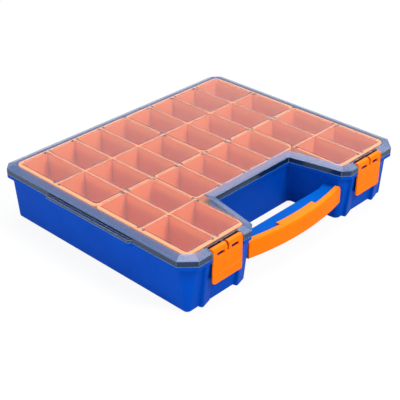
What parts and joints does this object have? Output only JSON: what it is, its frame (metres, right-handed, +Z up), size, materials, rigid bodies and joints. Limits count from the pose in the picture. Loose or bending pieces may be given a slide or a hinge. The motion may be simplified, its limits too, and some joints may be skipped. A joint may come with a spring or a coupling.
{
  "type": "compartment storage case",
  "caption": "Carry case for small parts: box with a front handle notch, clear hinged lid, snap latches and lift-out divided trays that sort screws and fittings.",
  "frame": {"origin": "middle of the footprint on the floor that the case stands on", "axes": "+X to the case's right seen from its handle side, +Y from the handle to the hinge, +Z up"},
  "size_m": [0.3724, 0.3096, 0.0719],
  "materials": {
    "case_blue": "moulded polypropylene, fine satin grain",
    "grip_orange": "moulded plastic, satin",
    "tray_orange": "moulded polypropylene, smooth",
    "lid_clear": "clear moulded plastic, glossy",
    "pin_steel": "drawn wire"
  },
  "bodies": {
    "base": {"base_case": "case_blue", "handle_grip": "grip_orange", "tray_back_left": "tray_orange", "tray_back_right": "tray_orange", "tray_front_left": "tray_orange", "tray_front_middle": "tray_orange", "tray_front_right": "tray_orange", "divider_back_left_long": "tray_orange", "divider_back_left_cross_1": "tray_orange", "divider_back_left_cross_2": "tray_orange", "divider_back_left_cross_3": "tray_orange", "divider_back_right_long": "tray_orange", "divider_back_right_cross_1": "tray_orange", "divider_back_right_cross_2": "tray_orange", "divider_back_right_cross_3": "tray_orange", "divider_front_left_long": "tray_orange", "divider_front_left_cross_1": "tray_orange", "divider_front_right_long": "tray_orange", "divider_front_right_cross_1": "tray_orange", "divider_front_middle_cross_1": "tray_orange", "divider_front_middle_cross_2": "tray_orange", "divider_front_middle_cross_3": "tray_orange", "hinge_pin_left": "pin_steel", "hinge_pin_right": "pin_steel"},
    "lid": {"lid": "lid_clear"},
    "latch_left": {"latch_left": "grip_orange"},
    "latch_right": {"latch_right": "grip_orange"}
  },
  "joints": [
    {"name": "lid_hinge", "type": "hinge", "parent": "base", "child": "lid", "pos_m": [0, 0.15123, 0.059], "axis": [-1, 0, 0], "range_deg": [0, 110]},
    {"name": "latch_left_pivot", "type": "hinge", "parent": "lid", "child": "latch_left", "pos_m": [-0.1236, -0.15022, 0.067], "axis": [-1, 0, 0], "range_deg": [0, 110]},
    {"name": "latch_right_pivot", "type": "hinge", "parent": "lid", "child": "latch_right", "pos_m": [0.1236, -0.15022, 0.067], "axis": [-1, 0, 0], "range_deg": [0, 110]}
  ]
}
